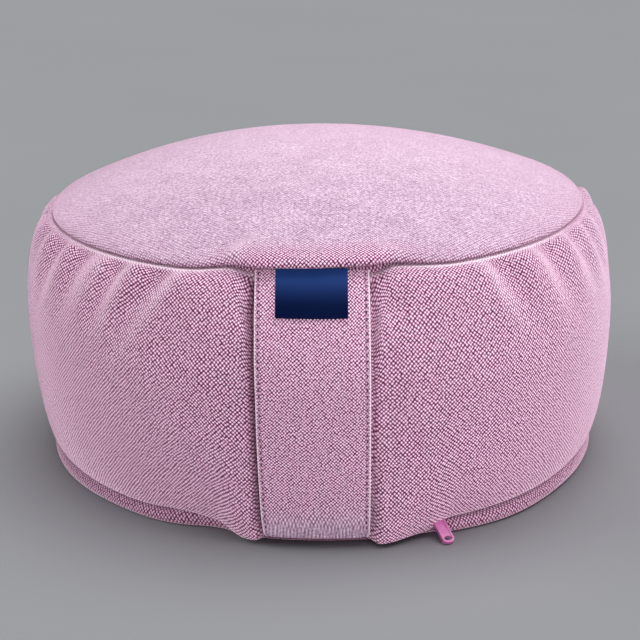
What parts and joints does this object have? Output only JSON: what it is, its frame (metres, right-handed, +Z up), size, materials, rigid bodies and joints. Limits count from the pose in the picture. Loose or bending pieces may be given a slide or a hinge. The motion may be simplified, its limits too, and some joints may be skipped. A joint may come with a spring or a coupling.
{
  "type": "zafu meditation cushion",
  "caption": "Round filled sitting cushion with a crowned top panel, a gathered side band, a strap handle at the front, a small bare label and a zip pull.",
  "frame": {"origin": "middle of the cushion's outline on the surface it rests on", "axes": "+Z up, -Y towards the front with the handle, +X to the right seen from the front"},
  "size_m": [0.368, 0.3691, 0.1905],
  "materials": {
    "cover_canvas": "coarse plain-weave cotton canvas, mauve pink, matt",
    "strap_canvas": "coarse plain-weave cotton canvas, mauve pink, edge-stitched",
    "label_satin": "navy woven satin, bare",
    "pull_enamel": "pink enamel on die-cast zinc"
  },
  "bodies": {
    "root": {"cushion": "cover_canvas", "handle": "strap_canvas", "label": "label_satin", "zip_pull": "pull_enamel"}
  },
  "joints": []
}
